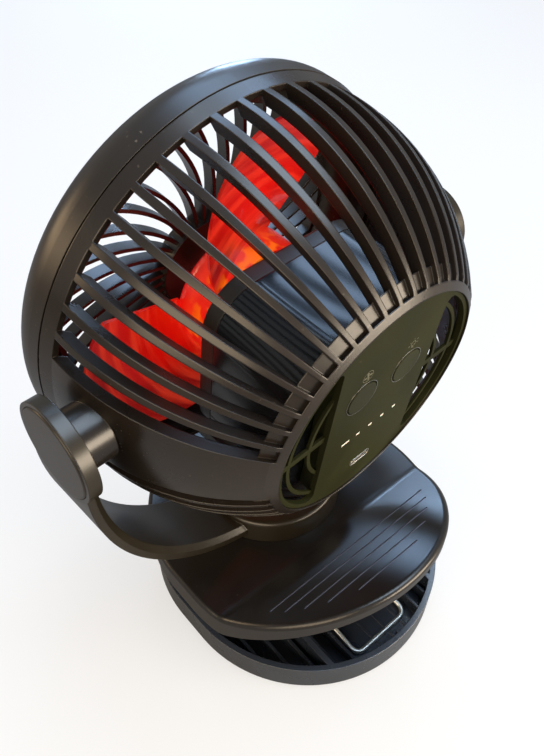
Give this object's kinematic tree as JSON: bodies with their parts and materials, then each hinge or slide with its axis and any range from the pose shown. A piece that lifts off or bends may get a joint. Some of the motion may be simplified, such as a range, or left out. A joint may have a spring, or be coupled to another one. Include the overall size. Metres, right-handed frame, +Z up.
{
  "type": "camping fan",
  "caption": "Rechargeable clip fan for camping: a round slotted fan head tilts in a swivelling yoke on a spring clamp that also stands on a table.",
  "frame": {"origin": "on the ground, under the swivel axis of the yoke", "axes": "+X from the tail of the clamp to its mouth, which is the way the fan blows; +Y to the fan's left; +Z up along the swivel axis"},
  "size_m": [0.172, 0.2314, 0.2741],
  "materials": {
    "case_plastic": "satin moulded plastic with a glossy top",
    "cell_wrap": "plastic film over the cell's metal can",
    "switch_plastic": "matt",
    "screw_steel": "zinc plated",
    "inner_plastic": "plain moulded",
    "port_plastic": "tin plated",
    "spring_wire": "bright drawn wire",
    "circuit_board": "solder resist",
    "button_plastic": "fine matt",
    "blade_plastic": "clear tinted plastic",
    "bezel_plastic": "satin",
    "grille_plastic": "satin",
    "pin_steel": "turned",
    "light_pipe": "milky",
    "lens_plastic": "milky",
    "pad_rubber": "matt with fine ribs",
    "jaw_plastic": "satin to glossy",
    "can_steel": "drawn",
    "copper_wire": "enamelled wire",
    "cap_plastic": "satin",
    "housing_plastic": "satin",
    "panel_plastic": "satin",
    "rotor_cap_plastic": "glossy",
    "foot_rubber": "matt",
    "washer_plastic": "slippery plain plastic",
    "yoke_plastic": "satin"
  },
  "bodies": {
    "base": {"lower_jaw": "jaw_plastic", "lower_grip_pad": "pad_rubber", "rubber_feet": "foot_rubber", "hinge_pin": "pin_steel", "clamp_spring": "spring_wire"},
    "clamp_jaw": {"upper_jaw": "jaw_plastic", "upper_grip_pad": "pad_rubber", "spring_arms": "spring_wire", "swivel_bush": "pin_steel", "swivel_washer": "pin_steel", "swivel_screw": "screw_steel"},
    "fork": {"yoke": "yoke_plastic", "swivel_cap": "cap_plastic", "pivot_cap_left": "cap_plastic", "pivot_cap_right": "cap_plastic", "tilt_washer_left": "washer_plastic", "tilt_washer_right": "washer_plastic"},
    "head": {"rear_housing": "housing_plastic", "front_bezel": "bezel_plastic", "front_grille": "grille_plastic", "light_board": "circuit_board", "light_lens": "lens_plastic", "rear_panel": "panel_plastic", "indicator_lights": "light_pipe", "charge_port": "port_plastic", "control_board": "circuit_board", "button_switches": "switch_plastic", "battery_case": "case_plastic", "battery_cells": "cell_wrap", "cell_cradle": "inner_plastic", "motor_plate": "inner_plastic", "case_screws": "screw_steel", "motor_can": "can_steel", "motor_bearings": "pin_steel", "motor_windings": "copper_wire", "tilt_bolt_left": "screw_steel", "tilt_bolt_right": "screw_steel"},
    "rotor": {"fan_rotor": "blade_plastic", "rotor_cap": "rotor_cap_plastic", "motor_shaft": "pin_steel"},
    "fan_switch_button": {"fan_button": "button_plastic"},
    "light_switch_button": {"light_button": "button_plastic"}
  },
  "joints": [
    {"name": "clamp_open", "type": "hinge", "parent": "base", "child": "clamp_jaw", "pos_m": [-0.02, 0, 0.0255], "axis": [0, -1, 0], "range_deg": [0, 18], "stiffness_Nm_per_rad": 1.6, "springref_deg": -34.38},
    {"name": "yoke_swivel", "type": "hinge", "parent": "clamp_jaw", "child": "fork", "pos_m": [0, 0, 0.0535], "axis": [0, 0, 1], "continuous": true},
    {"name": "head_tilt", "type": "hinge", "parent": "fork", "child": "head", "pos_m": [0, 0, 0.17], "axis": [0.0471, -0.9989, 0], "range_deg": [-96, 83]},
    {"name": "rotor_spin", "type": "hinge", "parent": "head", "child": "rotor", "pos_m": [0, 0, 0.17], "axis": [0.9917, 0.0468, 0.1196], "continuous": true},
    {"name": "fan_button_press", "type": "slide", "parent": "head", "child": "fan_switch_button", "axis": [0.9917, 0.0468, 0.1196], "range_m": [0, 0.0006], "stiffness_N_per_m": 1200, "springref_m": -0.0006},
    {"name": "light_button_press", "type": "slide", "parent": "head", "child": "light_switch_button", "axis": [0.9917, 0.0468, 0.1196], "range_m": [0, 0.0006], "stiffness_N_per_m": 1200, "springref_m": -0.0006}
  ]
}
